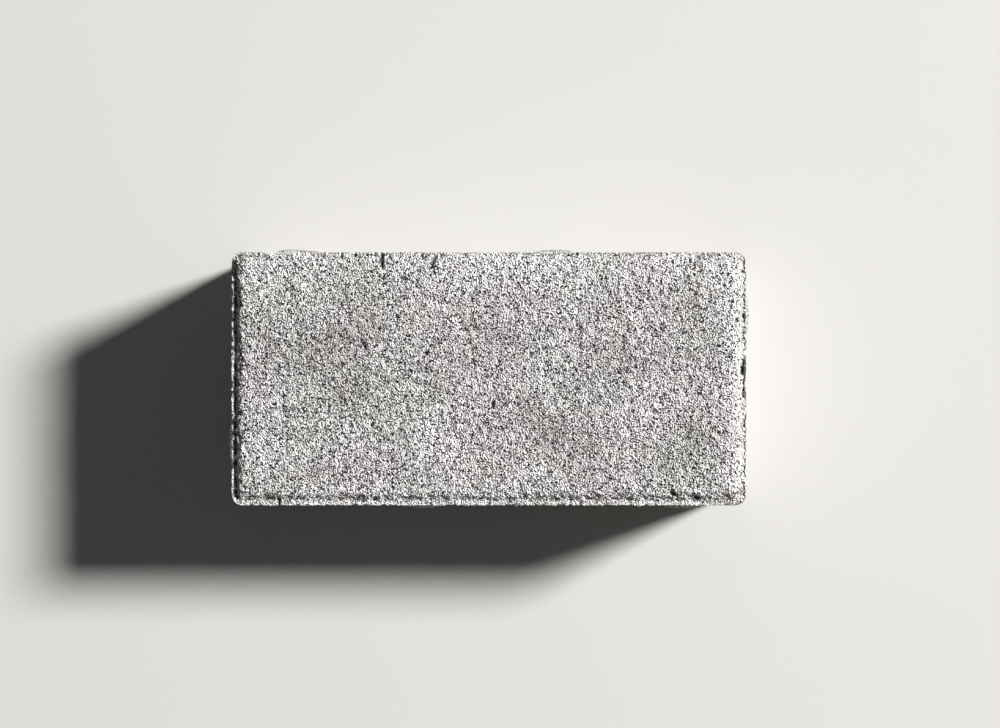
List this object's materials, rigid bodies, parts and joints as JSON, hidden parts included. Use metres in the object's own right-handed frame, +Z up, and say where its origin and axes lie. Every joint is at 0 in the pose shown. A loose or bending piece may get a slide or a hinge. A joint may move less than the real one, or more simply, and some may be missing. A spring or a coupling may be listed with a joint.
{
  "type": "concrete paving stone",
  "caption": "Rectangular pressed concrete paving stone with bevelled top edges, a narrow ledge round them, and upright spacer nibs on its walls.",
  "frame": {"origin": "middle of the bed face, the flat underside that the stone lies on", "axes": "+X along the stone's length, +Y across it towards the long wall whose nibs lie at one eighth and five eighths of the length, +Z up to the wearing face"},
  "size_m": [0.1996, 0.0996, 0.06],
  "materials": {
    "concrete": "rough pressed concrete with a sandy facing"
  },
  "bodies": {
    "root": {"paving_stone": "concrete"}
  },
  "joints": []
}
